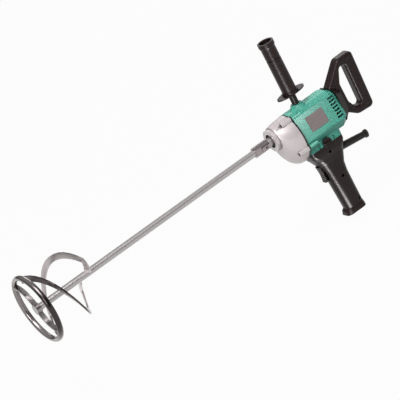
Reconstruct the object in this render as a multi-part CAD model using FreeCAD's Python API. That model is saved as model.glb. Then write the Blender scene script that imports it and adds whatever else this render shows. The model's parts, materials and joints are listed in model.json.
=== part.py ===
import FreeCAD, Part
import math
import os

# Frame: the spindle lies along X with the paddle towards -X, Z is up through the side handle,
# and the origin is the centre of the gear case's nose face.

# Mixing paddle
ring_radius = 80.0
ring_band = 13.0
ring_thick = 11.0
paddle_end_x = -637.0
rod_radius = 7.6
blade_start_turn_share = 0.20277
blade_turn_share = 0.66925
blade_start_rise = 4.2
blade_thick = 3.6
blade_width = 14.0
blade_radius_share = 0.886
blade_pitch_length = 114.7
blade_arm_share = 0.3
blade_steps = 30
crossbar_thick = 4.0
crossbar_width = 11.0
crossbar_bow = 15.0
crossbar_turn_degrees = 33.0
arm_rise = 8.1
arm_turn_share = 0.0592
arm_curve_share = 1.27

# Spindle and connector
spindle_radius = 10.0
journal_radius = 8.5
rear_journal_radius = 6.0
connector_radius = 11.5
connector_front_x = -46.0
connector_rear_x = -9.0
connector_flat_half = 9.5
connector_flat_length = 16.0
connector_slot_half = 3.5
connector_slot_x = -18.0
rod_socket_depth = 16.0
spindle_tail_depth = 17.0

# Gear train: module and tooth counts give every centre distance
motor_drop = 22.0
first_module = 1.0
first_pinion_teeth = 9
first_gear_teeth = 32
second_module = 1.25
second_pinion_teeth = 9
second_gear_teeth = 35
tooth_tip_share = 0.8
tooth_root_share = 1.15
tooth_foot_share = 0.62
tooth_pitch_share = 0.40
tooth_top_share = 0.20
output_gear_x = 22.0
output_gear_width = 10.0
first_gear_x = 35.5
first_gear_width = 8.0
pinion_overlap = 1.0
intermediate_radius = 4.0
bush_radius = 7.0
bush_length = 6.0

# Gear case
nose_radius = 25.0
nose_bore_radius = 16.0
nose_length = 9.0
case_rear_x = 52.0
case_wall = 4.0
case_half_width_share = 0.81
case_front_share = 0.999
case_stations = ((9.0, 0.0, 27.5), (15.0, -15.0, 43.5), (32.0, -23.2, 53.2), (52.0, -23.6, 54.6))
spigot_length = 8.0
gasket_thick = 3.4
front_bearing_radius = 17.5
front_bearing_x = 7.0
front_bearing_length = 8.0
seal_length = 4.0
seal_x = 2.5
running_gap = 0.04
rear_bearing_radius = 11.0
rear_bearing_length = 6.0
plate_thick = 14.0
plate_boss_radius = 16.0
case_screw_places = ((-22.0, 23.5), (-40.5, -46.0), (39.5, 2.0), (40.5, -46.0))
case_screw_radius = 2.5
case_screw_head_radius = 4.2
case_screw_head_length = 4.0
case_screw_length = 34.0
case_boss_radius = 6.2
case_boss_x = 27.0

# Motor
motor_shaft_radius = 5.0
armature_bearing_radius = 11.0
armature_bearing_length = 6.5
core_start_x = 86.0
core_length = 38.0
core_radius = 21.5
rotor_gap = 1.0
coil_depth = 5.5
yoke_thick = 4.5
pole_radius = core_radius + rotor_gap
coil_radius = pole_radius + coil_depth
stator_radius = coil_radius + yoke_thick
pole_half_width = 16.0
coil_overhang = 7.0
end_winding_step = 2.5
end_winding_radius = core_radius - end_winding_step
end_winding_length = 8.0
commutator_radius = 13.0
commutator_gap = 5.0
commutator_x = core_start_x + core_length + end_winding_length + commutator_gap
commutator_length = 13.0
fan_x = 64.0
fan_length = 11.0
fan_radius = 33.0
fan_hub_radius = 10.0
fan_disc_thick = 2.0
fan_blade_count = 12
fan_blade_thick = 1.6
baffle_x = 76.0
baffle_thick = 2.0
baffle_bore_radius = 25.0
brush_long = 8.0
brush_wide = 5.0
brush_out = 15.0
brush_holder_wall = 1.5
brush_gap = 0.05
spring_wire_radius = 0.45
trigger_wire_radius = 0.6
trigger_spring_turns = 7

# Motor housing, half section as (y, z) corners from the top
rear_room = 18.0
housing_rear_x = commutator_x + commutator_length + rear_room
housing_wall = 3.5
housing_clearance = 6.0
housing_lean = 12.0
housing_shoulder_z = 22.5
housing_foot_z = -38.0
housing_side_y = stator_radius + housing_clearance + housing_wall
housing_shoulder_y = housing_side_y - housing_lean
block_half_width = 30.0
housing_base_step = 5.0
housing_base_y = block_half_width - housing_base_step
housing_corners = ((13.0, 28.0), (housing_shoulder_y, housing_shoulder_z),
                   (housing_side_y, housing_foot_z), (housing_base_y, -58.0))
brush_holder_reach = 2.0
brush_holder_end_y = stator_radius + brush_holder_reach
housing_rounds = (14.0, 5.0, 7.0, 8.0)
housing_tail_length = 12.0
housing_tail_share = 0.86
block_rear_x = 143.0
block_bottom_z = -68.0
block_wall = 3.5
block_corner = 8.0
handle_boss_radius = 12.5
handle_boss_foot_radius = 21.0
handle_boss_foot_z = 22.0
handle_boss_low_z = 15.0
handle_boss_top_z = 37.0
vent_count = 7
vent_pitch = 7.4
vent_top_z = 13.3
vent_height = 4.2
vent_inset = 22.5
vent_near_y = 26.0
vent_start_x = housing_rear_x - vent_inset
vent_length = 15.5
groove_places = (81.0, 121.0)
groove_half_width = 1.4
groove_depth = 1.6
groove_top_z = -57.0
housing_boss_radius = 5.5
housing_boss_length = 22.0
stator_rib_width = 8.0
plate_start_x = 78.9
plate_end_x = 124.5
plate_middle_z = -6.3
plate_half_height = 17.2
label_thick = 0.6
rear_wall_thick = 10.0

# Side handle, on the boss above the housing
side_handle_x = 91.0
stem_radius = 7.8
stem_top_z = 62.0
guard_radius = 34.5
guard_half_width = 18.5
guard_thick = 3.0
side_grip_radius = 16.2
side_grip_top_z = 190.0
side_collar_radius = 18.2
side_end_bore_radius = 14.3
side_end_bore_depth = 7.0
side_collar_height = 9.0
side_groove_z = 148.0
side_groove_depth = 1.6
side_groove_height = 4.0
stud_radius = 4.0
stud_low_z = 20.0
stud_high_z = 92.0

# D-shaped rear handle, outline corners as (x behind the housing, z) with their rounding radius
rear_outer = ((-28.0, 0.0, 10.0), (46.0, 68.0, 15.0), (86.5, 69.0, 9.0), (80.5, -65.0, 11.0),
              (39.0, -62.0, 18.0), (16.0, -44.0, 10.0), (-28.0, -44.0, 10.0))
rear_opening = ((29.5, 19.0, 14.0), (44.0, 50.0, 8.0), (59.0, 51.5, 6.0), (56.5, -46.0, 7.0),
                (40.0, -44.0, 8.0), (30.0, -25.0, 14.0))
rear_half_width = 14.0
rear_edge_round = 6.5
rear_cover_half_width = 34.0
rear_cover_rear_half_width = 22.0
rear_cover_top_z = 24.0
rear_cover_low_z = -52.0
rear_cover_length = 18.0
rear_cover_end_x = housing_rear_x + rear_cover_length
rear_cover_shrink = 9.0
rear_cover_corner = 14.0
rear_screw_places = ((70.0, 56.0), (12.0, 20.0), (68.0, -53.0))

# Pistol grip, stations as (z, front x, rear x, half width)
grip_front_gap = 0.3
grip_front_x = case_rear_x + gasket_thick + grip_front_gap
grip_taper = 2.0
grip_stations = ((-68.0, grip_front_x, 143.0, block_half_width),
                 (-77.0, grip_front_x, 143.0, block_half_width),
                 (-86.0, 58.0, 142.0, block_half_width - grip_taper),
                 (-98.0, 64.0, 140.5, 23.0), (-112.0, 71.0, 136.5, 19.0), (-130.0, 75.5, 129.0, 17.5),
                 (-150.0, 77.5, 126.5, 17.5), (-185.0, 80.0, 126.5, 17.5), (-224.0, 82.5, 126.5, 17.0),
                 (-230.0, 78.0, 127.0, 18.5), (-238.0, 76.5, 127.0, 19.0))
grip_corner_shares = (0.28, 0.28, 0.45, 0.75, 0.88, 0.9, 0.9, 0.9, 0.85, 0.7, 0.6)
grip_wall = 3.0
grip_floor = 4.0
grip_screw_places = ((118.0, -216.0), (106.0, -152.0), (100.0, -86.0))
grip_screw_radius = 2.0
grip_screw_head_radius = 3.6
grip_screw_head_length = 2.6

# Trigger, switch and knob
trigger_front_x = 66.5
trigger_back_x = 72.5
trigger_top_z = -110.0
trigger_low_z = -148.0
trigger_half_width = 8.0
trigger_bow = 2.6
trigger_travel = 6.0
trigger_gap = 0.5
trigger_tip_round = 4.0
switch_front_x = 92.0
switch_rear_x = 120.0
switch_top_z = -106.0
switch_low_z = -136.0
switch_half_width = 12.0
trigger_stem_radius = 3.0
trigger_spring_radius = 4.6
knob_x = 101.0
knob_z = -63.5
knob_radius = 10.8
knob_out = 7.0
knob_bar_half = 1.8
knob_shaft_radius = 3.0
knob_gap = 0.4
reverse_half_width = 12.0
reverse_height = 9.0

# Cord guard at the back of the grip
guard_start = (132.0, -102.0)
guard_end = (206.8, -112.0)
guard_root_radius = 8.2
guard_tip_radius = 7.0
guard_flare_radius = 9.2
guard_flare_length = 5.0
guard_bore_radius = 3.7
guard_collar_radius = 10.5
guard_collar_length = 5.0

# One overrun past a face serves every cut, and one tolerance every comparison
overrun = 2.0
same_place = 1e-6
full_turn_degrees = 360.0

os.makedirs("parts", exist_ok=True)
pieces = {}
x_way = FreeCAD.Vector(1, 0, 0)
y_way = FreeCAD.Vector(0, 1, 0)
z_way = FreeCAD.Vector(0, 0, 1)


def point(x, y, z):
    return FreeCAD.Vector(x, y, z)


def rod_x(radius, start, end, y=0.0, z=0.0):
    return Part.makeCylinder(radius, end - start, point(start, y, z), x_way)


def rod_y(radius, start, end, x, z):
    return Part.makeCylinder(radius, end - start, point(x, start, z), y_way)


def rod_z(radius, start, end, x, y=0.0):
    return Part.makeCylinder(radius, end - start, point(x, y, start), z_way)


def tube_x(outer, inner, start, end, y=0.0, z=0.0):
    bore = rod_x(inner, start - overrun, end + overrun, y, z)
    return rod_x(outer, start, end, y, z).cut(bore)


def block(x0, x1, y0, y1, z0, z1):
    return Part.makeBox(x1 - x0, y1 - y0, z1 - z0, point(x0, y0, z0))


def rounded_wire(corners, radii):
    """Closed wire through the corners, each rounded by a tangent arc of its own radius."""
    starts = []
    ends = []
    middles = []
    count = len(corners)
    for index, corner in enumerate(corners):
        to_last = corners[index - 1].sub(corner).normalize()
        to_next = corners[(index + 1) % count].sub(corner).normalize()
        half = to_last.getAngle(to_next) / 2
        reach = radii[index] / math.tan(half)
        inward = to_last.add(to_next).normalize()
        depth = radii[index] / math.sin(half) - radii[index]
        starts.append(corner.add(to_last.multiply(reach)))
        ends.append(corner.add(to_next.multiply(reach)))
        middles.append(corner.add(inward.multiply(depth)))
    edges = []
    for index in range(count):
        if ends[index - 1].distanceToPoint(starts[index]) > same_place:
            edges.append(Part.LineSegment(ends[index - 1], starts[index]).toShape())
        edges.append(Part.Arc(starts[index], middles[index], ends[index]).toShape())
    return Part.Wire(edges)


def mirrored(half_corners):
    """Right half corners from the top, followed by their mirror images going back up."""
    right = [(y, z) for y, z in half_corners]
    left = [(-y, z) for y, z in reversed(half_corners)]
    return right + left


def section_x(half_corners, radii, x, inset=0.0, share=1.0):
    """Mirrored housing section at x, drawn in by an inset and scaled about the motor axis."""
    corners = []
    for y, z in mirrored(half_corners):
        y_in = y - math.copysign(inset, y)
        z_in = z - math.copysign(inset, z + motor_drop)
        corners.append(point(x, y_in * share, (z_in + motor_drop) * share - motor_drop))
    all_radii = list(radii) + list(reversed(radii))
    return rounded_wire(corners, [max(radius - inset, radius / 2) for radius in all_radii])


def prism(wire, way, length):
    return Part.Face(wire).extrude(FreeCAD.Vector(way).multiply(length))


def ellipse_x(x, z, tall, wide):
    curve = Part.Ellipse(point(x, 0, z + tall), point(x, wide, z), point(x, 0, z))
    return Part.Wire([curve.toShape()])


def oval_z(z, front, rear, half_width, corner_share):
    corners = [point(front, -half_width, z), point(rear, -half_width, z),
               point(rear, half_width, z), point(front, half_width, z)]
    radius = corner_share * min(half_width, (rear - front) / 2)
    return rounded_wire(corners, [radius] * len(corners))


def join(first, others):
    return first.multiFuse(others).removeSplitter()


def halves(shape):
    """Left half (towards -Y) and right half of a clamshell."""
    box = shape.BoundBox
    left_box = block(box.XMin - overrun, box.XMax + overrun, box.YMin - overrun, 0.0,
                     box.ZMin - overrun, box.ZMax + overrun)
    right_box = block(box.XMin - overrun, box.XMax + overrun, 0.0, box.YMax + overrun,
                      box.ZMin - overrun, box.ZMax + overrun)
    return shape.common(left_box), shape.common(right_box)


def gear_wire(teeth, module, x, y, z, turn):
    """Spur gear outline in the YZ plane; turn is the angle of one tooth's middle."""
    pitch_radius = teeth * module / 2
    tooth_angle = 2 * math.pi / teeth
    root = pitch_radius - tooth_root_share * module
    tip = pitch_radius + tooth_tip_share * module
    profile = ((-tooth_foot_share / 2, root), (-tooth_pitch_share / 2, pitch_radius),
               (-tooth_top_share / 2, tip), (tooth_top_share / 2, tip),
               (tooth_pitch_share / 2, pitch_radius), (tooth_foot_share / 2, root))
    outline = []
    for tooth in range(teeth):
        for share, radius in profile:
            angle = turn + (tooth + share) * tooth_angle
            outline.append(point(x, y + radius * math.cos(angle), z + radius * math.sin(angle)))
    outline.append(outline[0])
    return Part.makePolygon(outline)


def gear(teeth, module, start, end, y, z, turn):
    return prism(gear_wire(teeth, module, start, y, z, turn), x_way, end - start)


def coil(path_radius, wire_radius, pitch, height, base, way):
    """Helical wire spring standing on base along way, as one tube."""
    helix = Part.makeHelix(pitch, height, path_radius)
    start = point(path_radius, 0, 0)
    circle = Part.Wire([Part.makeCircle(wire_radius, start, y_way)])
    spring = Part.Wire(helix.Edges).makePipeShell([circle], True, True)
    spring.Placement = FreeCAD.Placement(base, FreeCAD.Rotation(z_way, way))
    return spring


# Mixing paddle

ring_inner = ring_radius - ring_thick
ring_middle_radius = ring_radius - ring_thick / 2
ring_rear_x = paddle_end_x + ring_band
ring_middle_x = paddle_end_x + ring_band / 2
ring_oval = Part.Ellipse(point(ring_middle_x + ring_band / 2, 0, ring_middle_radius),
                         point(ring_middle_x, 0, ring_radius), point(ring_middle_x, 0, ring_middle_radius))
ring_face = Part.Face(Part.Wire([ring_oval.toShape()]))
ring = ring_face.revolve(point(0, 0, 0), x_way, full_turn_degrees)
pieces["mixer_ring"] = ring

rod_rear_x = connector_front_x + rod_socket_depth
rod_front_x = ring_middle_x - crossbar_width / 2
pieces["mixer_rod"] = rod_x(rod_radius, rod_front_x, rod_rear_x)


def arc_points(centre, radius, sweep):
    return [centre.add(point(0, math.sin(angle) * radius, math.cos(angle) * radius))
            for angle in (-sweep, 0.0, sweep)]


def bowed_bar(reach, bow, thick, x):
    """Half of the S-shaped crossbar: an arc of even thickness from the middle out to reach."""
    radius = (reach * reach / 4 + bow * bow) / (2 * bow)
    centre = point(x, reach / 2, bow - radius)
    sweep = math.asin(reach / 2 / radius)
    outer = arc_points(centre, radius + thick / 2, sweep)
    inner = arc_points(centre, radius - thick / 2, sweep)
    edges = [Part.Arc(*outer).toShape(), Part.LineSegment(outer[2], inner[2]).toShape(),
             Part.Arc(*reversed(inner)).toShape(), Part.LineSegment(inner[0], outer[0]).toShape()]
    return prism(Part.Wire(edges), x_way, crossbar_width)


crossbar_hub_radius = rod_radius + crossbar_thick
half_bar = bowed_bar(ring_radius, crossbar_bow, crossbar_thick, rod_front_x)
other_half = half_bar.copy()
other_half.rotate(point(0, 0, 0), x_way, full_turn_degrees / 2)
hub = rod_x(crossbar_hub_radius, rod_front_x, rod_front_x + crossbar_width)
crossbar = join(half_bar, [other_half, hub])
crossbar = crossbar.common(rod_x(ring_middle_radius, rod_front_x - overrun, ring_rear_x)).cut(ring)
crossbar = crossbar.cut(rod_x(rod_radius, rod_front_x - overrun, ring_rear_x))
crossbar.rotate(point(0, 0, 0), x_way, crossbar_turn_degrees)
pieces["ring_crossbar"] = crossbar

blade_radius = ring_middle_radius * blade_radius_share
blade_start_x = ring_middle_x + blade_start_rise


def blade_centre(share, turn):
    """Centre line of one blade: a helix up from the ring, then an arm curling in to the rod."""
    helix_share = min(share / (1 - blade_arm_share), 1.0)
    arm_share = max((share - 1 + blade_arm_share) / blade_arm_share, 0.0)
    turns = blade_turn_share * helix_share + arm_turn_share * (1 - (1 - arm_share) ** 2)
    angle = turn + 2 * math.pi * turns
    inward = arm_share ** arm_curve_share
    radius = blade_radius * (1 - inward) + rod_radius / 2 * inward
    x = blade_start_x + blade_pitch_length * helix_share + arm_rise * arm_share
    return point(x, radius * math.cos(angle), radius * math.sin(angle))


def helix_blade(turn):
    sections = []
    small = 1.0 / (blade_steps * blade_steps)
    for step in range(blade_steps + 1):
        share = step / blade_steps
        centre = blade_centre(share, turn)
        ahead = blade_centre(min(share + small, 1.0), turn)
        behind = blade_centre(max(share - small, 0.0), turn)
        along = ahead.sub(behind).normalize()
        outward = point(0, centre.y, centre.z).normalize()
        wide = outward.sub(FreeCAD.Vector(along).multiply(along.dot(outward))).normalize()
        thick = along.cross(wide)
        corners = []
        for w, t in ((-1, -1), (1, -1), (1, 1), (-1, 1), (-1, -1)):
            across = FreeCAD.Vector(wide).multiply(w * blade_width / 2)
            through = FreeCAD.Vector(thick).multiply(t * blade_thick / 2)
            corners.append(centre.add(across).add(through))
        sections.append(Part.makePolygon(corners))
    blade = Part.makeLoft(sections, True, True)
    return blade.cut(pieces["mixer_rod"]).cut(ring)


blade = helix_blade(2 * math.pi * blade_start_turn_share + math.pi)
opposite_blade = blade.copy()
opposite_blade.rotate(point(0, 0, 0), x_way, full_turn_degrees / 2)
pieces["helix_blade_a"] = opposite_blade
pieces["helix_blade_b"] = blade

# Spindle, connector and output gear

first_distance = first_module * (first_pinion_teeth + first_gear_teeth) / 2
second_distance = second_module * (second_pinion_teeth + second_gear_teeth) / 2
middle_z = -(second_distance ** 2 - first_distance ** 2 + motor_drop ** 2) / (2 * motor_drop)
middle_y = math.sqrt(second_distance ** 2 - middle_z ** 2)
motor_z = -motor_drop

gear_plate_x = case_rear_x - spigot_length + overrun
rear_bearing_x = gear_plate_x + overrun / 2
rear_bearing_end_x = rear_bearing_x + rear_bearing_length
spindle_front_x = connector_rear_x - spindle_tail_depth
spindle = join(rod_x(rod_radius, spindle_front_x, connector_rear_x),
               [rod_x(spindle_radius, connector_rear_x, front_bearing_x),
                rod_x(journal_radius, front_bearing_x, output_gear_x + output_gear_width),
                rod_x(rear_journal_radius, output_gear_x, rear_bearing_end_x)])
pieces["output_spindle"] = spindle

connector = tube_x(connector_radius, rod_radius, connector_front_x, connector_rear_x)
for side in (-1, 1):
    flat = block(connector_front_x - overrun, connector_front_x + connector_flat_length,
                 min(side * connector_flat_half, side * connector_radius * 2),
                 max(side * connector_flat_half, side * connector_radius * 2),
                 -connector_radius * 2, connector_radius * 2)
    connector = connector.cut(flat)
slot = block(connector_slot_x - connector_slot_half, connector_slot_x + connector_slot_half,
             -connector_radius * 2, -rod_radius / 2, -connector_slot_half, connector_slot_half)
pieces["rod_connector"] = connector.cut(slot).cut(spindle)

toward_middle = math.atan2(middle_z, middle_y)
half_tooth = math.pi / second_gear_teeth
output_gear = gear(second_gear_teeth, second_module, output_gear_x, output_gear_x + output_gear_width,
                   0.0, 0.0, toward_middle + half_tooth)
output_gear = output_gear.cut(rod_x(journal_radius, output_gear_x - overrun, case_rear_x))
pieces["output_gear"] = output_gear

# Intermediate shaft and gear

bush_front_x = output_gear_x - pinion_overlap - bush_length
second_pinion = gear(second_pinion_teeth, second_module, output_gear_x - pinion_overlap,
                     output_gear_x + output_gear_width + pinion_overlap, middle_y, middle_z,
                     toward_middle + math.pi)
middle_end_x = gear_plate_x + bush_length
intermediate_shaft = join(rod_x(intermediate_radius, bush_front_x, middle_end_x, middle_y, middle_z),
                          [second_pinion])
pieces["intermediate_shaft"] = intermediate_shaft
toward_motor = math.atan2(motor_z - middle_z, -middle_y)
first_gear = gear(first_gear_teeth, first_module, first_gear_x, first_gear_x + first_gear_width,
                  middle_y, middle_z, toward_motor + math.pi / first_gear_teeth)
pieces["intermediate_gear"] = first_gear.cut(intermediate_shaft)
pieces["intermediate_front_bush"] = tube_x(bush_radius, intermediate_radius + running_gap, bush_front_x,
                                           bush_front_x + bush_length - pinion_overlap / 2,
                                           middle_y, middle_z)
pieces["intermediate_rear_bush"] = tube_x(bush_radius, intermediate_radius + running_gap, gear_plate_x,
                                          gear_plate_x + bush_length, middle_y, middle_z)

# Gear case, its bearings, seal, gasket and plate

case_sections = [ellipse_x(x, z, tall, tall * case_half_width_share) for x, z, tall in case_stations[1:]]
first_x, first_z, first_tall = case_stations[0]
case_sections.insert(0, ellipse_x(first_x, first_z, first_tall, first_tall * case_front_share))
case_body = Part.makeLoft(case_sections, True, False)
cavity_sections = []
for x, z, tall in case_stations[1:]:
    cavity_x = min(x + case_wall, case_rear_x - spigot_length)
    inner_tall = tall - case_wall
    cavity_sections.append(ellipse_x(cavity_x, z, inner_tall, tall * case_half_width_share - case_wall))
cavity = Part.makeLoft(cavity_sections, True, False)
rear_x, rear_z, rear_tall = case_stations[-1]
mouth_tall = rear_tall - case_wall
mouth_wide = rear_tall * case_half_width_share - case_wall
mouth = prism(ellipse_x(case_rear_x - spigot_length, rear_z, mouth_tall, mouth_wide), x_way,
              spigot_length)
nose = rod_x(nose_radius, 0.0, nose_length)
bosses = []
for y, z in case_screw_places:
    bosses.append(rod_x(case_boss_radius, case_boss_x, case_rear_x, y, z))
bush_seat = rod_x(bush_radius + case_wall, bush_front_x - case_wall, bush_front_x + bush_length / 2,
                  middle_y, middle_z)
bearing_seat_end_x = front_bearing_x + front_bearing_length
bearing_seat = rod_x(front_bearing_radius + case_wall, nose_length, bearing_seat_end_x)
gear_case = join(case_body, [nose] + bosses)
gear_case = gear_case.cut(cavity).cut(mouth)
gear_case = join(gear_case, [bearing_seat, bush_seat.common(case_body)])
gear_case = gear_case.cut(rod_x(front_bearing_radius, seal_x, bearing_seat_end_x + overrun))
gear_case = gear_case.cut(rod_x(spindle_radius + overrun, -overrun, output_gear_x))
gear_case = gear_case.cut(rod_x(nose_bore_radius, -overrun, seal_x + overrun))
gear_case = gear_case.cut(rod_x(bush_radius, bush_front_x, case_rear_x, middle_y, middle_z))
screws = []
head_end_x = case_boss_x + case_screw_head_length
for y, z in case_screw_places:
    shank = rod_x(case_screw_radius, head_end_x, head_end_x + case_screw_length, y, z)
    head = rod_x(case_screw_head_radius, case_boss_x + overrun / 2, head_end_x, y, z)
    socket = rod_x(case_screw_radius / 2, case_boss_x, case_boss_x + overrun, y, z)
    recess = rod_x(case_screw_head_radius, case_boss_x - case_boss_x / 2, head_end_x, y, z)
    gear_case = gear_case.cut(recess).cut(shank)
    screws.append(join(shank, [head]).cut(socket))
pieces["gear_case"] = gear_case
pieces["gear_case_screws"] = Part.makeCompound(screws)
pieces["spindle_seal"] = tube_x(front_bearing_radius, spindle_radius + running_gap, seal_x,
                                seal_x + seal_length)
pieces["front_spindle_bearing"] = tube_x(front_bearing_radius, journal_radius + running_gap,
                                         front_bearing_x, bearing_seat_end_x)
pieces["rear_spindle_bearing"] = tube_x(rear_bearing_radius, rear_journal_radius + running_gap,
                                        rear_bearing_x, rear_bearing_end_x)
gasket_end_x = case_rear_x + gasket_thick
gasket_wire = ellipse_x(case_rear_x, rear_z, rear_tall, rear_tall * case_half_width_share)
gasket = prism(gasket_wire, x_way, gasket_thick)
gasket = join(gasket, [rod_x(case_boss_radius, case_rear_x, gasket_end_x, y, z)
                       for y, z in case_screw_places])
gasket = gasket.cut(prism(ellipse_x(case_rear_x - overrun, rear_z, mouth_tall, mouth_wide), x_way,
                          gasket_thick + overrun * 2))
for screw in screws:
    gasket = gasket.cut(screw)
pieces["gear_case_gasket"] = gasket

plate_end = gear_plate_x + plate_thick
armature_bearing_x = plate_end - armature_bearing_length
spigot = prism(ellipse_x(gear_plate_x, rear_z, mouth_tall, mouth_wide), x_way, case_rear_x - gear_plate_x)
gear_plate = join(spigot, [rod_x(plate_boss_radius, case_rear_x - overrun, plate_end, 0.0, motor_z)])
gear_plate = gear_plate.cut(rod_x(rear_bearing_radius, rear_bearing_x, rear_bearing_end_x))
gear_plate = gear_plate.cut(rod_x(rear_journal_radius + overrun, gear_plate_x - overrun, rear_bearing_x))
gear_plate = gear_plate.cut(rod_x(bush_radius, gear_plate_x - overrun, middle_end_x, middle_y, middle_z))
gear_plate = gear_plate.cut(rod_x(armature_bearing_radius, armature_bearing_x, plate_end + overrun,
                                  0.0, motor_z))
gear_plate = gear_plate.cut(rod_x(motor_shaft_radius + overrun, gear_plate_x - overrun, plate_end,
                                  0.0, motor_z))
for screw in screws:
    gear_plate = gear_plate.cut(screw)
pieces["gear_plate"] = gear_plate

# Motor

shaft_end_x = housing_rear_x - rear_wall_thick + armature_bearing_length
first_pinion_end_x = first_gear_x + first_gear_width + pinion_overlap
motor_pinion = gear(first_pinion_teeth, first_module, first_gear_x - pinion_overlap, first_pinion_end_x,
                    0.0, motor_z, toward_motor + math.pi)
pinion_root = first_module * (first_pinion_teeth / 2 - tooth_root_share)
shaft = join(rod_x(motor_shaft_radius, armature_bearing_x, shaft_end_x, 0.0, motor_z),
             [rod_x(pinion_root, first_gear_x, armature_bearing_x + overrun, 0.0, motor_z), motor_pinion])
pieces["armature_shaft"] = shaft
core_end_x = core_start_x + core_length
pieces["armature_core"] = tube_x(core_radius, motor_shaft_radius, core_start_x, core_end_x, 0.0, motor_z)
pieces["armature_windings"] = Part.makeCompound([
    tube_x(end_winding_radius, motor_shaft_radius, core_start_x - end_winding_length, core_start_x,
           0.0, motor_z),
    tube_x(end_winding_radius, motor_shaft_radius, core_end_x, core_end_x + end_winding_length,
           0.0, motor_z)])
pieces["commutator"] = tube_x(commutator_radius, motor_shaft_radius, commutator_x,
                              commutator_x + commutator_length, 0.0, motor_z)
rear_armature_x = housing_rear_x - rear_wall_thick
pieces["front_armature_bearing"] = tube_x(armature_bearing_radius, motor_shaft_radius + running_gap,
                                          armature_bearing_x, plate_end, 0.0, motor_z)
pieces["rear_armature_bearing"] = tube_x(armature_bearing_radius, motor_shaft_radius + running_gap,
                                         rear_armature_x, shaft_end_x, 0.0, motor_z)

fan = join(rod_x(fan_hub_radius, fan_x, fan_x + fan_length, 0.0, motor_z),
           [rod_x(fan_radius, fan_x, fan_x + fan_disc_thick, 0.0, motor_z)])
for index in range(fan_blade_count):
    blade = block(fan_x, fan_x + fan_length, fan_hub_radius / 2, fan_radius - fan_blade_thick,
                  motor_z - fan_blade_thick / 2, motor_z + fan_blade_thick / 2)
    blade.rotate(point(fan_x, 0, motor_z), x_way, full_turn_degrees * index / fan_blade_count)
    fan = fan.fuse(blade)
fan = fan.removeSplitter()
pieces["cooling_fan"] = fan.cut(rod_x(motor_shaft_radius, fan_x - overrun, core_start_x, 0.0, motor_z))

yoke = tube_x(stator_radius, coil_radius, core_start_x, core_end_x, 0.0, motor_z)
pole_space = tube_x(coil_radius, pole_radius, core_start_x, core_end_x, 0.0, motor_z)
pole_box = block(core_start_x, core_end_x, -pole_half_width, pole_half_width,
                 motor_z - stator_radius, motor_z + stator_radius)
pieces["stator_core"] = join(yoke, [pole_space.common(pole_box)])
coil_start_x = core_start_x - coil_overhang
coil_end_x = core_end_x + coil_overhang
coil_ring = tube_x(coil_radius, pole_radius + brush_holder_wall, coil_start_x, coil_end_x, 0.0, motor_z)
coils = []
for side in (-1, 1):
    coil_box = block(coil_start_x, coil_end_x, min(side * pole_half_width, side * stator_radius),
                     max(side * pole_half_width, side * stator_radius),
                     motor_z - stator_radius, motor_z + stator_radius)
    coils.append(coil_ring.common(coil_box))
pieces["field_coils"] = Part.makeCompound(coils)

# Brush gear, one set each side of the commutator

brush_x = commutator_x + commutator_length / 2
brushes = []
holders = []
springs = []
brush_start_y = commutator_radius + brush_gap
brush_end_y = brush_start_y + brush_out


def brush_block(side, grow, near_y, far_y):
    return block(brush_x - brush_long / 2 - grow, brush_x + brush_long / 2 + grow,
                 min(side * near_y, side * far_y), max(side * near_y, side * far_y),
                 motor_z - brush_wide / 2 - grow, motor_z + brush_wide / 2 + grow)


for side in (-1, 1):
    brushes.append(brush_block(side, 0.0, brush_start_y, brush_end_y))
    holder = brush_block(side, brush_holder_wall, brush_start_y + overrun, brush_holder_end_y)
    holders.append(holder.cut(brush_block(side, 0.0, 0.0, brush_holder_end_y - brush_holder_wall)))
    spring_room = brush_holder_end_y - brush_holder_wall - brush_end_y
    spring_height = spring_room - spring_wire_radius * 2
    base = point(brush_x, side * (brush_end_y + spring_wire_radius), motor_z)
    springs.append(coil(brush_wide / 2 - spring_wire_radius * 2, spring_wire_radius,
                        spring_wire_radius * 4, spring_height,
                        base, FreeCAD.Vector(y_way).multiply(side)))
pieces["carbon_brushes"] = Part.makeCompound(brushes)
pieces["brush_springs"] = Part.makeCompound(springs)

# Motor housing

tail_x = housing_rear_x - housing_tail_length
outer = prism(section_x(housing_corners, housing_rounds, gasket_end_x), x_way, tail_x - gasket_end_x)
tail = Part.makeLoft([section_x(housing_corners, housing_rounds, tail_x),
                      section_x(housing_corners, housing_rounds, housing_rear_x,
                                share=housing_tail_share)], True, True)
block_height = motor_z - block_bottom_z
lower_block = prism(oval_z(block_bottom_z, gasket_end_x, block_rear_x, block_half_width,
                           block_corner / block_half_width), z_way, block_height)
boss_foot = Part.makeCone(handle_boss_foot_radius, handle_boss_radius, handle_boss_top_z - handle_boss_foot_z,
                          point(side_handle_x, 0, handle_boss_foot_z), z_way)
boss = join(rod_z(handle_boss_radius, handle_boss_low_z, handle_boss_top_z, side_handle_x), [boss_foot])
front_bosses = []
for y, z in case_screw_places:
    front_bosses.append(rod_x(housing_boss_radius, gasket_end_x, gasket_end_x + housing_boss_length, y, z))
shell = join(outer, [tail, lower_block, boss])
seat_end_x = core_end_x - overrun
seat = tube_x(stator_radius + case_wall, stator_radius, seat_end_x - stator_rib_width, seat_end_x,
              0.0, motor_z).common(shell)
hollow = prism(section_x(housing_corners, housing_rounds, gasket_end_x - overrun, housing_wall), x_way,
               tail_x + overrun - gasket_end_x)
block_hollow = prism(oval_z(block_bottom_z - overrun, gasket_end_x + block_wall,
                            block_rear_x - block_wall, block_half_width - block_wall,
                            block_corner / block_half_width / 2), z_way, block_height)
housing = shell.cut(hollow).cut(block_hollow)
boss_inside = boss.common(hollow)
housing = join(housing, [seat, boss_inside] + front_bosses)
for screw in screws:
    housing = housing.cut(screw)
housing = housing.cut(rod_x(armature_bearing_radius, tail_x - overrun, shaft_end_x, 0.0, motor_z))
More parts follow.
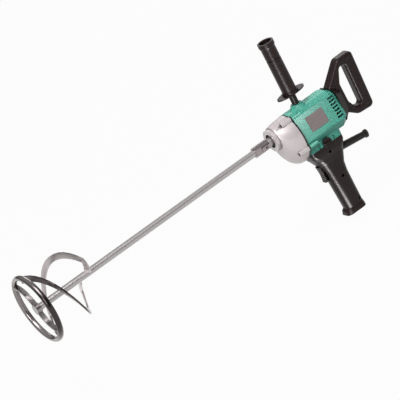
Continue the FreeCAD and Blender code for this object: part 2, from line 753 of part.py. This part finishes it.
housing = housing.cut(rod_z(stud_radius, stud_low_z, handle_boss_top_z + overrun, side_handle_x))
for side in (-1, 1):
    for index in range(vent_count):
        low = vent_top_z - index * vent_pitch
        near_y = side * vent_near_y
        far_y = side * (housing_side_y + overrun)
        vent = block(vent_start_x, vent_start_x + vent_length, min(near_y, far_y), max(near_y, far_y),
                     low, low + vent_height)
        housing = housing.cut(vent)
for x in groove_places:
    groove = block(x - groove_half_width, x + groove_half_width, -block_half_width - overrun,
                   -block_half_width + groove_depth, block_bottom_z - overrun, groove_top_z)
    housing = housing.cut(groove)
housing = housing.cut(rod_y(knob_shaft_radius + running_gap, -block_half_width - overrun,
                            -block_half_width + block_wall + overrun, knob_x, knob_z))
pieces["motor_housing"] = housing
lean_share = housing_lean / (housing_shoulder_z - housing_foot_z)
plate_y = -housing_shoulder_y - (housing_shoulder_z - plate_middle_z) * lean_share
plate = block(plate_start_x, plate_end_x, plate_y - label_thick, plate_y,
              plate_middle_z - plate_half_height, plate_middle_z + plate_half_height)
plate.rotate(point(0, plate_y, plate_middle_z), x_way, -math.degrees(math.atan(lean_share)))
pieces["rating_plate"] = plate
pieces["brush_holders"] = Part.makeCompound([holder.cut(housing) for holder in holders])
baffle = prism(section_x(housing_corners, housing_rounds, baffle_x, housing_wall), x_way, baffle_thick)
baffle = baffle.cut(rod_x(baffle_bore_radius, baffle_x - overrun, core_start_x, 0.0, motor_z))
baffle = baffle.cut(housing)
pieces["fan_baffle"] = baffle

# Reversing knob and the switch behind it

knob_in_y = -block_half_width - knob_gap
knob_end_y = knob_in_y - knob_out
knob = rod_y(knob_radius, knob_end_y + knob_out / 2, knob_in_y, knob_x, knob_z)
bar = block(knob_x - knob_radius + overrun, knob_x + knob_radius - overrun, knob_end_y, knob_in_y,
            knob_z - knob_bar_half, knob_z + knob_bar_half)
knob_inner_y = -block_half_width + block_wall
knob_shaft_end_y = knob_inner_y + knob_shaft_radius
knob = join(knob, [bar, rod_y(knob_shaft_radius, knob_in_y, knob_shaft_end_y, knob_x, knob_z)])
pieces["reversing_knob"] = knob
reverse = block(knob_x - reverse_half_width, knob_x + reverse_half_width, knob_inner_y,
                knob_inner_y + reverse_height, knob_z - reverse_height, knob_z + knob_shaft_radius * 2)
socket = rod_y(knob_shaft_radius + knob_gap, knob_inner_y - overrun, knob_shaft_end_y + knob_gap,
               knob_x, knob_z)
pieces["reversing_switch"] = reverse.cut(socket).cut(pieces["stator_core"])

# Side handle

stem_low_z = handle_boss_top_z
guard_top_z = stem_top_z + guard_thick
stud = rod_z(stud_radius, stud_low_z, stud_high_z, side_handle_x)
pieces["side_handle_stud"] = stud
pieces["side_handle_stem"] = rod_z(stem_radius, stem_low_z, stem_top_z, side_handle_x).cut(stud)
guard_oval = Part.Ellipse(point(side_handle_x + guard_radius, 0, stem_top_z),
                          point(side_handle_x, guard_half_width, stem_top_z),
                          point(side_handle_x, 0, stem_top_z))
pieces["side_handle_guard"] = prism(Part.Wire([guard_oval.toShape()]), z_way, guard_thick).cut(stud)
collar_low_z = side_grip_top_z - side_collar_height
flare = Part.makeCone(side_grip_radius, side_collar_radius, side_collar_height / 2,
                      point(side_handle_x, 0, collar_low_z - side_collar_height / 2), z_way)
side_grip = join(rod_z(side_grip_radius, guard_top_z, side_grip_top_z, side_handle_x),
                 [flare, rod_z(side_collar_radius, collar_low_z, side_grip_top_z, side_handle_x),
                  rod_z(side_collar_radius, guard_top_z, guard_top_z + side_groove_height, side_handle_x)])
groove = rod_z(side_collar_radius, side_groove_z, side_groove_z + side_groove_height, side_handle_x)
groove = groove.cut(rod_z(side_grip_radius - side_groove_depth, side_groove_z - overrun,
                          side_groove_z + side_groove_height + overrun, side_handle_x))
end_bore = rod_z(side_end_bore_radius, side_grip_top_z - side_end_bore_depth, side_grip_top_z + overrun,
                 side_handle_x)
pieces["side_handle_grip"] = side_grip.cut(groove).cut(end_bore).cut(stud)

# D-shaped rear handle with its cover over the back of the motor


def outline_y(corners, y):
    return rounded_wire([point(housing_rear_x + x, y, z) for x, z, radius in corners],
                        [radius for x, z, radius in corners])


def cover_section(x, half_width, top, low):
    corners = [point(x, half_width, top), point(x, half_width, low),
               point(x, -half_width, low), point(x, -half_width, top)]
    return rounded_wire(corners, [rear_cover_corner] * len(corners))


def loop(half_width, outer_corners, opening_corners):
    body = prism(outline_y(outer_corners, -half_width), y_way, half_width * 2)
    return body.cut(prism(outline_y(opening_corners, -half_width - overrun), y_way,
                          half_width * 2 + overrun * 2))


d_loop = loop(rear_half_width, rear_outer, rear_opening)
rims = [edge for edge in d_loop.Edges
        if abs(abs(edge.CenterOfMass.y) - rear_half_width) < same_place]
d_loop = d_loop.makeFillet(rear_edge_round, rims)
d_box = d_loop.BoundBox
behind_housing = block(housing_rear_x, d_box.XMax + overrun, d_box.YMin - overrun, d_box.YMax + overrun,
                       d_box.ZMin - overrun, d_box.ZMax + overrun)
d_loop = d_loop.common(behind_housing)
cover = Part.makeLoft([cover_section(housing_rear_x, rear_cover_half_width, rear_cover_top_z,
                                     rear_cover_low_z),
                       cover_section(rear_cover_end_x, rear_cover_rear_half_width,
                                     rear_cover_top_z - rear_cover_shrink,
                                     rear_cover_low_z + rear_cover_shrink)], True, True)
rear_handle = join(d_loop, [cover])
rear_screws = []
for behind, z in rear_screw_places:
    x = housing_rear_x + behind
    head_y = -rear_half_width + grip_screw_head_length
    shank = rod_y(grip_screw_radius, head_y, rear_half_width - grip_screw_head_length, x, z)
    head = rod_y(grip_screw_head_radius, -rear_half_width + overrun / 2, head_y, x, z)
    recess = rod_y(grip_screw_head_radius, -rear_half_width - overrun, head_y, x, z)
    socket = rod_y(grip_screw_radius / 2, -rear_half_width, -rear_half_width + overrun, x, z)
    rear_handle = rear_handle.cut(recess).cut(shank)
    rear_screws.append(join(shank, [head]).cut(socket))
pieces["rear_handle_left"], pieces["rear_handle_right"] = halves(rear_handle)
pieces["rear_handle_screws"] = Part.makeCompound(rear_screws)

# Pistol grip

grip_sections = []
grip_inner = []
for (z, front, rear, half_width), share in zip(grip_stations, grip_corner_shares):
    grip_sections.append(oval_z(z, front, rear, half_width, share))
    grip_inner.append(oval_z(z, front + grip_wall, rear - grip_wall, half_width - grip_wall, share))
grip_body = Part.makeLoft(grip_sections, True, True)
grip_hollow = Part.makeLoft(grip_inner, True, True)
grip_low_z = grip_stations[-1][0]
grip_box = grip_body.BoundBox
above_floor = block(grip_box.XMin, grip_box.XMax, grip_box.YMin, grip_box.YMax,
                    grip_low_z + grip_floor, block_bottom_z)
grip = grip_body.cut(grip_hollow.common(above_floor))
switch_middle_x = (switch_front_x + switch_rear_x) / 2
switch_middle_z = (switch_top_z + switch_low_z) / 2
rib_reach = (switch_rear_x - switch_front_x) / 4
for side in (-1, 1):
    rib = block(switch_middle_x - rib_reach, switch_middle_x + rib_reach,
                min(side * switch_half_width, side * block_half_width),
                max(side * switch_half_width, side * block_half_width),
                switch_middle_z - rib_reach, switch_middle_z + rib_reach)
    grip = grip.fuse(rib.common(grip_body))
grip_screws = []
for x, z in grip_screw_places:
    post = rod_y(grip_screw_head_radius + overrun, -block_half_width, block_half_width, x, z)
    grip = grip.fuse(post.common(grip_body))
for x, z in grip_screw_places:
    reach = switch_half_width - grip_screw_head_length
    shank = rod_y(grip_screw_radius, -reach, reach, x, z)
    head = rod_y(grip_screw_head_radius, -reach - grip_screw_head_length, -reach, x, z)
    recess = rod_y(grip_screw_head_radius, -block_half_width - overrun, -reach, x, z)
    grip = grip.cut(recess).cut(shank)
    grip_screws.append(join(shank, [head]))
trigger_room = block(trigger_front_x - trigger_travel, trigger_back_x + trigger_travel + overrun,
                     -trigger_half_width - trigger_gap, trigger_half_width + trigger_gap,
                     trigger_low_z - trigger_gap, trigger_top_z + trigger_gap)
grip = grip.cut(trigger_room)

# Cord guard, a tapered sleeve with a flared end

guard_x, guard_z = guard_start
guard_way = point(guard_end[0] - guard_x, 0, guard_end[1] - guard_z)
guard_length = guard_way.Length
guard_way.normalize()
guard_base = point(guard_x, 0, guard_z)


def along_guard(distance):
    return guard_base.add(FreeCAD.Vector(guard_way).multiply(distance))


guard = join(Part.makeCone(guard_root_radius, guard_tip_radius, guard_length, guard_base, guard_way),
             [Part.makeCylinder(guard_flare_radius, guard_flare_length,
                                along_guard(guard_length - guard_flare_length), guard_way),
              Part.makeCylinder(guard_collar_radius, guard_collar_length, guard_base, guard_way)])
grip = grip.cut(guard)
guard_bore = Part.makeCylinder(guard_bore_radius, guard_length + overrun * 2, along_guard(-overrun),
                               guard_way)
pieces["cord_guard"] = guard.cut(guard_bore)
pieces["grip_left"], pieces["grip_right"] = halves(grip.removeSplitter())
pieces["grip_screws"] = Part.makeCompound(grip_screws)

# Trigger, its spring and its switch

trigger_middle_z = (trigger_top_z + trigger_low_z) / 2
top_front = point(trigger_front_x, -trigger_half_width, trigger_top_z)
hollow_front = point(trigger_front_x + trigger_bow, -trigger_half_width, trigger_middle_z)
low_front = point(trigger_front_x + trigger_bow / 2, -trigger_half_width, trigger_low_z)
low_back = point(trigger_back_x, -trigger_half_width, trigger_low_z)
top_back = point(trigger_back_x, -trigger_half_width, trigger_top_z)
trigger_wire = Part.Wire([Part.Arc(top_front, hollow_front, low_front).toShape(),
                          Part.LineSegment(low_front, low_back).toShape(),
                          Part.LineSegment(low_back, top_back).toShape(),
                          Part.LineSegment(top_back, top_front).toShape()])
trigger = prism(trigger_wire, y_way, trigger_half_width * 2)
front_edges = [edge for edge in trigger.Edges
               if edge.CenterOfMass.x < trigger_front_x + trigger_bow
               and abs(edge.CenterOfMass.y) > trigger_half_width / 2]
trigger = trigger.makeFillet(trigger_tip_round / 2, front_edges)
stem_end_x = switch_front_x + trigger_travel
trigger = join(trigger, [rod_x(trigger_stem_radius, trigger_back_x - overrun, stem_end_x, 0.0,
                               switch_middle_z)])
pieces["trigger"] = trigger
switch = block(switch_front_x, switch_rear_x, -switch_half_width, switch_half_width,
               switch_low_z, switch_top_z)
switch_bore = rod_x(trigger_stem_radius + running_gap, switch_front_x - overrun,
                    stem_end_x + trigger_travel + trigger_gap, 0.0, switch_middle_z)
pieces["trigger_switch"] = switch.cut(switch_bore)
spring_room = switch_front_x - trigger_back_x - trigger_wire_radius * 2
spring_pitch = spring_room / trigger_spring_turns
pieces["trigger_spring"] = coil(trigger_spring_radius, trigger_wire_radius, spring_pitch, spring_room,
                                point(trigger_back_x + trigger_wire_radius, 0, switch_middle_z), x_way)

for name, shape in pieces.items():
    shape.exportStep("parts/" + name + ".step")
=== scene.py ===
import json
import math

import bpy
from mathutils import Matrix, Vector


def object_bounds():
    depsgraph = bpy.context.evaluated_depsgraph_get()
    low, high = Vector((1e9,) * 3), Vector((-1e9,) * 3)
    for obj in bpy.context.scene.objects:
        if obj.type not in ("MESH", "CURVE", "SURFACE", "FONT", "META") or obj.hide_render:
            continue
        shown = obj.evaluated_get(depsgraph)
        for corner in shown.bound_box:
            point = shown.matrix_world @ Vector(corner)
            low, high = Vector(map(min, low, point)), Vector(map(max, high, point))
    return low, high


# Camera: a long lens, turned so that the shaft runs down to the left
camera_azimuth = -22.1
camera_elevation = 20.83
camera_roll = -27.47
camera_distance = 8.3
camera_target = (-0.208, -0.013, -0.009)
camera_lens = 360.0
camera_sensor = 36.0
camera_near = 0.1
camera_far = 100.0

# Floor, and the world's light as (height, brightness) from the horizon up
floor_half = 30.0
floor_drop = 0.02
floor_corner_shares = ((-1.0, -1.0), (1.0, -1.0), (1.0, 1.0), (-1.0, 1.0))
floor_colour = (0.40, 0.40, 0.40, 1.0)
floor_white_share = 0.96
world_light_shares = ((0.0, 1.0), (0.06, 1.0), (0.12, 0.05), (0.30, 0.12), (0.55, 0.45), (1.0, 0.55))
world_strength = 1.0

# Lamps as (name, place, target, width and height, power)
lamps = (
    ("key_lamp", (-0.7, -1.2, 2.3), (0.05, 0.0, 0.0), (1.5, 1.5), 48.0),
    ("side_lamp", (-2.4, -2.4, 1.3), (-0.1, 0.0, 0.0), (1.2, 1.2), 30.0),
    ("back_lamp", (1.8, 2.4, 1.5), (0.0, 0.0, 0.0), (1.4, 1.4), 14.0),
)

# Strips above the floor that show only in the sheen of the black pieces,
# as (name, middle, length and width, power)
black_slots = ("handle_black", "black_rubber")
strip_turn = 47.9
strip_lift = 0.003
strips = (
    ("near_strip", (-0.055, -0.190), (0.36, 0.060), 2.2),
    ("far_strip", (-0.400, -0.570), (0.66, 0.180), 11.0),
)

# A small lamp close to the front of the green panel, which shows only in its sheen
green_slots = ("housing_green",)
panel_lamp_place = (0.112, -0.205, 0.055)
panel_lamp_target = (0.050, -0.033, 0.018)
panel_lamp_size = (0.10, 0.08)
panel_lamp_power = 0.7

# Finishes as two lines each: light colour, dark colour, grain scale and grain stretch,
# then low roughness, high roughness, bump, metallic and specular
finishes = {
    "paddle_steel": ((0.53, 0.50, 0.50), (0.43, 0.40, 0.40), 60.0, (0.05, 1.0, 1.0),
                     0.28, 0.38, 0.01, 0.75, 0.5),
    "connector_steel": ((0.42, 0.37, 0.37), (0.24, 0.21, 0.21), 40.0, (0.2, 1.0, 1.0),
                        0.18, 0.30, 0.02, 1.0, 0.5),
    # The light and dark colours of band_steel and ring_steel are painted reflections, spread in broad
    # stretches
    "band_steel": ((0.74, 0.68, 0.68), (0.07, 0.055, 0.055), 9.0, (1.0, 0.6, 0.6),
                   0.20, 0.30, 0.01, 1.0, 0.5),
    "ring_steel": ((0.40, 0.365, 0.365), (0.06, 0.05, 0.05), 12.0, (1.0, 0.6, 0.6),
                   0.14, 0.24, 0.01, 1.0, 0.5),
    "gear_steel": ((0.55, 0.55, 0.56), (0.40, 0.40, 0.41), 160.0, (1.0, 1.0, 1.0),
                   0.25, 0.40, 0.05, 1.0, 0.5),
    "core_steel": ((0.32, 0.32, 0.33), (0.22, 0.22, 0.23), 800.0, (1.0, 0.02, 0.02),
                   0.35, 0.5, 0.2, 0.9, 0.5),
    "screw_steel": ((0.045, 0.040, 0.040), (0.022, 0.020, 0.020), 220.0, (1.0, 1.0, 1.0),
                    0.28, 0.45, 0.05, 0.6, 0.5),
    "case_aluminium": ((0.70, 0.635, 0.635), (0.61, 0.555, 0.555), 420.0, (1.0, 1.0, 1.0),
                       0.30, 0.42, 0.10, 0.35, 0.45),
    "bronze": ((0.62, 0.43, 0.20), (0.46, 0.30, 0.13), 180.0, (1.0, 1.0, 1.0),
               0.3, 0.42, 0.05, 1.0, 0.5),
    "copper": ((0.70, 0.34, 0.18), (0.42, 0.18, 0.08), 900.0, (0.05, 1.0, 1.0),
               0.3, 0.45, 0.3, 0.9, 0.5),
    "housing_green": ((0.066, 0.345, 0.260), (0.055, 0.305, 0.230), 70.0, (1.0, 1.0, 1.0),
                      0.36, 0.46, 0.03, 0.0, 0.35),
    "handle_black": ((0.017, 0.009, 0.008), (0.010, 0.005, 0.005), 520.0, (1.0, 1.0, 1.0),
                     0.26, 0.38, 0.03, 0.0, 0.2),
    "inner_plastic": ((0.05, 0.05, 0.05), (0.035, 0.035, 0.035), 300.0, (1.0, 1.0, 1.0),
                      0.45, 0.6, 0.08, 0.0, 0.5),
    "carbon": ((0.03, 0.03, 0.03), (0.02, 0.02, 0.02), 600.0, (1.0, 1.0, 1.0),
               0.5, 0.7, 0.1, 0.0, 0.5),
    "black_rubber": ((0.012, 0.009, 0.008), (0.007, 0.005, 0.005), 420.0, (1.0, 1.0, 1.0),
                     0.42, 0.58, 0.12, 0.0, 0.3),
    "plate_grey": ((0.30, 0.25, 0.25), (0.22, 0.18, 0.18), 260.0, (0.08, 1.0, 1.0),
                   0.40, 0.52, 0.05, 0.2, 0.4),
}
# Nodes whose finish is not the one named after their material slot
finish_of_node = {
    "mixer_ring": "ring_steel", "ring_crossbar": "ring_steel", "helix_blade_a": "band_steel",
    "helix_blade_b": "band_steel", "rod_connector": "connector_steel",
}

# Grain; the ring and blade finishes change in broad light and dark stretches, which are painted reflections
# of the surroundings
fine_grain = 2.6
noise_detail = 5.0
bump_distance = 0.0004
reflection_painted_finishes = ("band_steel", "ring_steel")
reflection_painted_detail = 0.6
reflection_painted_low_share = 0.36
reflection_painted_high_share = 0.62

# Rounded and rubbed edges, and painted shade that darkens the crevices, which the plain finishes do not have
plain_finishes = ("paddle_steel", "connector_steel", "band_steel", "ring_steel", "gear_steel", "bronze")
edge_round = 0.0009
wear_low = 0.012
wear_high = 0.09
wear_share = 0.30
wear_light = 1.8
painted_shade_reach = 0.012
painted_shade_low_share = 0.20
painted_shade_high_share = 0.85
painted_shade_depth = 0.12

# Plain values, and the places of sockets that share a name with others on their node
whole = 1.0
black = (0.0, 0.0, 0.0, 1.0)
matrix_size = 4
first_value = 0
second_value = 1
first_shader = 1
second_shader = 2
mix_share = 0
mix_first = 6
mix_second = 7
mix_result = 2

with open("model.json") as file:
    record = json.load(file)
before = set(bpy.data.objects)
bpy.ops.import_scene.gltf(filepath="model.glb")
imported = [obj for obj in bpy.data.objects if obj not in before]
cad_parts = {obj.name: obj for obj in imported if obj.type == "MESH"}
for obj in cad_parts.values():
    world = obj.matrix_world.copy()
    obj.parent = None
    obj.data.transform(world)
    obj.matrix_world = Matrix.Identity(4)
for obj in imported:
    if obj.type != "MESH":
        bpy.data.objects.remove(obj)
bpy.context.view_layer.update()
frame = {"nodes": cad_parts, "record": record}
scene = bpy.context.scene


def added(tree, kind, entries, **settings):
    """A new shader node with its settings made, and its entries given values or joined to other sockets."""
    node = tree.nodes.new("ShaderNode" + kind)
    for setting, value in settings.items():
        setattr(node, setting, value)
    for entry, value in entries.items():
        if isinstance(value, bpy.types.NodeSocket):
            tree.links.new(value, node.inputs[entry])
        else:
            node.inputs[entry].default_value = value
    return node


def mixed(tree, way, share, first, second):
    """Two colours mixed by a share."""
    entries = {mix_share: share, mix_first: first, mix_second: second}
    return added(tree, "Mix", entries, data_type="RGBA", blend_type=way).outputs[mix_result]


def ranged(tree, value, low, high, to_low, to_high):
    """A value moved from one range to another and held at its ends."""
    entries = {"Value": value, "From Min": low, "From Max": high, "To Min": to_low, "To Max": to_high}
    return added(tree, "MapRange", entries).outputs["Result"]


def reckoned(tree, way, first, second):
    """One step of arithmetic on two values."""
    entries = {first_value: first, second_value: second}
    return added(tree, "Math", entries, operation=way).outputs["Value"]


def worn_with_painted_shade(tree, colour, grain, rounded):
    """A colour with rubbed, lighter edges, and painted shade that darkens its crevices."""
    surface = added(tree, "NewGeometry", {}).outputs["Normal"]
    entries = {first_value: rounded, second_value: surface}
    facing = added(tree, "VectorMath", entries, operation="DOT_PRODUCT").outputs["Value"]
    edge = ranged(tree, facing, whole - wear_low, whole - wear_high, 0.0, wear_share)
    patchy = reckoned(tree, "MULTIPLY", edge, grain)
    entries = {first_value: colour, "Scale": wear_light}
    lighter = added(tree, "VectorMath", entries, operation="SCALE").outputs["Vector"]
    rubbed = mixed(tree, "MIX", patchy, colour, lighter)
    # Painted shade: ambient occlusion darkens the colour in crevices, slots and creases
    occlusion = added(tree, "AmbientOcclusion", {"Distance": painted_shade_reach}).outputs["AO"]
    painted_shade_share = ranged(tree, occlusion, painted_shade_low_share, painted_shade_high_share, whole - painted_shade_depth, 0.0)
    return mixed(tree, "MULTIPLY", painted_shade_share, rubbed, black)


def procedural(name, light, dark, scale, stretch, rough_low, rough_high, bump, metallic, specular):
    """A surface whose colour, roughness and relief come from stretched noise in the part's own frame; on all
    but the plain finishes the colour also gets rubbed edges and painted shade in its crevices.
    """
    material = bpy.data.materials.new(name)
    material.use_nodes = True
    tree = material.node_tree
    shader = tree.nodes["Principled BSDF"]
    shader.inputs["Metallic"].default_value = metallic
    shader.inputs["Specular IOR Level"].default_value = specular
    place = added(tree, "TexCoord", {}).outputs["Object"]
    grid = added(tree, "Mapping", {"Vector": place, "Scale": stretch}).outputs["Vector"]
    detail = reflection_painted_detail if name in reflection_painted_finishes else noise_detail
    broad = added(tree, "TexNoise", {"Vector": grid, "Scale": scale, "Detail": detail}).outputs["Fac"]
    fine = added(tree, "TexNoise", {"Vector": grid, "Scale": scale * fine_grain}).outputs["Fac"]
    ramp = added(tree, "ValToRGB", {"Fac": broad})
    dark_stop, light_stop = ramp.color_ramp.elements
    # Painted reflections: broad light and dark stretches on the ring and blade finishes
    if name in reflection_painted_finishes:
        dark_stop.position = reflection_painted_low_share
        light_stop.position = reflection_painted_high_share
    dark_stop.color = (*dark, whole)
    light_stop.color = (*light, whole)
    colour = ramp.outputs["Color"]
    relief = added(tree, "Bump", {"Strength": bump, "Distance": bump_distance, "Height": fine})
    if name not in plain_finishes:
        rounded = added(tree, "Bevel", {"Radius": edge_round}).outputs["Normal"]
        tree.links.new(rounded, relief.inputs["Normal"])
        colour = worn_with_painted_shade(tree, colour, fine, rounded)
    tree.links.new(colour, shader.inputs["Base Color"])
    roughness = ranged(tree, broad, 0.0, whole, rough_low, rough_high)
    tree.links.new(roughness, shader.inputs["Roughness"])
    tree.links.new(relief.outputs["Normal"], shader.inputs["Normal"])
    return material


def aimed(position, target):
    """The placing of a lamp that stands at one point and shines at another."""
    back = (Vector(position) - Vector(target)).normalized()
    return Matrix.Translation(position) @ back.to_track_quat("Z", "Y").to_matrix().to_4x4()


def area_lamp(name, size, power, placed):
    """A rectangular lamp that the camera does not see."""
    light = bpy.data.lights.new(name, "AREA")
    light.shape = "RECTANGLE"
    light.size, light.size_y = size
    light.energy = power
    lamp = bpy.data.objects.new(name, light)
    lamp.matrix_world = placed
    lamp.visible_camera = False
    scene.collection.objects.link(lamp)
    return lamp


def sheen_lamp(name, slots, size, power, placed):
    """A rectangular lamp that shows only in the sheen of the nodes in some material slots."""
    receivers = bpy.data.collections.new(name + "_receivers")
    for node_name, node in frame["nodes"].items():
        if slot_of_node[node_name] in slots:
            receivers.objects.link(node)
    lamp = area_lamp(name, size, power, placed)
    lamp.visible_diffuse = False
    lamp.light_linking.receiver_collection = receivers


# Finishes on the nodes
materials = {name: procedural(name, *values) for name, values in finishes.items()}
slot_of_node = {row["node"]: row["material_slot"] for row in frame["record"]["subparts"]}
for name, node in frame["nodes"].items():
    finish = finish_of_node.get(name, slot_of_node[name])
    node.data.materials.clear()
    node.data.materials.append(materials[finish])

# Floor: white to the camera and to reflections, with the object's soft shadow kept
low_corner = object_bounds()[0]
floor_z = low_corner.z - floor_drop
floor_corners = [(x * floor_half, y * floor_half, floor_z) for x, y in floor_corner_shares]
floor_mesh = bpy.data.meshes.new("floor")
floor_mesh.from_pydata(floor_corners, [], [tuple(range(len(floor_corners)))])
floor = bpy.data.objects.new("floor", floor_mesh)
scene.collection.objects.link(floor)
floor_material = bpy.data.materials.new("floor")
floor_material.use_nodes = True
tree = floor_material.node_tree
tree.nodes.clear()
rays = added(tree, "LightPath", {}).outputs
seen = reckoned(tree, "MAXIMUM", rays["Is Camera Ray"], rays["Is Glossy Ray"])
seen = reckoned(tree, "MAXIMUM", seen, rays["Is Transmission Ray"])
white_share = reckoned(tree, "MULTIPLY", seen, floor_white_share)
matt = added(tree, "BsdfDiffuse", {"Color": floor_colour}).outputs["BSDF"]
white = added(tree, "Emission", {}).outputs["Emission"]
entries = {"Fac": white_share, first_shader: matt, second_shader: white}
floor_shader = added(tree, "MixShader", entries).outputs["Shader"]
added(tree, "OutputMaterial", {"Surface": floor_shader})
floor_mesh.materials.append(floor_material)

# World: a white backdrop at the horizon, a dim wall above it and soft light overhead
world = bpy.data.worlds.new("studio")
scene.world = world
world.use_nodes = True
tree = world.node_tree
tree.nodes.clear()
direction = added(tree, "TexCoord", {}).outputs["Generated"]
height = added(tree, "SeparateXYZ", {"Vector": direction}).outputs["Z"]
ramp = added(tree, "ValToRGB", {"Fac": height})
stops = ramp.color_ramp.elements
for index, (position, value) in enumerate(world_light_shares):
    stop = stops[index] if index < len(stops) else stops.new(position)
    stop.position = position
    stop.color = (value, value, value, whole)
entries = {"Color": ramp.outputs["Color"], "Strength": world_strength}
backdrop = added(tree, "Background", entries).outputs["Background"]
added(tree, "OutputWorld", {"Surface": backdrop})

# Lamps
for name, position, target, size, power in lamps:
    area_lamp(name, size, power, aimed(position, target))
turned = Matrix.Rotation(math.radians(strip_turn), matrix_size, "Z")
facing_up = turned @ Matrix.Rotation(math.pi, matrix_size, "X")
for name, (x, y), size, power in strips:
    placed = Matrix.Translation((x, y, floor_z + strip_lift)) @ facing_up
    sheen_lamp(name, black_slots, size, power, placed)
placed = aimed(panel_lamp_place, panel_lamp_target)
sheen_lamp("panel_lamp", green_slots, panel_lamp_size, panel_lamp_power, placed)

# Camera
azimuth = math.radians(camera_azimuth)
elevation = math.radians(camera_elevation)
roll = math.radians(camera_roll)
back = Vector((math.cos(elevation) * math.sin(azimuth), -math.cos(elevation) * math.cos(azimuth),
               math.sin(elevation)))
level = Vector((math.cos(azimuth), math.sin(azimuth), 0.0))
upright = back.cross(level)
right = level * math.cos(roll) + upright * math.sin(roll)
upward = back.cross(right)
turn = Matrix((right, upward, back)).transposed().to_4x4()
camera_data = bpy.data.cameras.new("camera")
camera_data.lens = camera_lens
camera_data.sensor_width = camera_sensor
camera_data.clip_start = camera_near
camera_data.clip_end = camera_far
camera = bpy.data.objects.new("camera", camera_data)
camera.matrix_world = Matrix.Translation(Vector(camera_target) + back * camera_distance) @ turn
scene.collection.objects.link(camera)
scene.camera = camera
scene.view_settings.view_transform = "Standard"
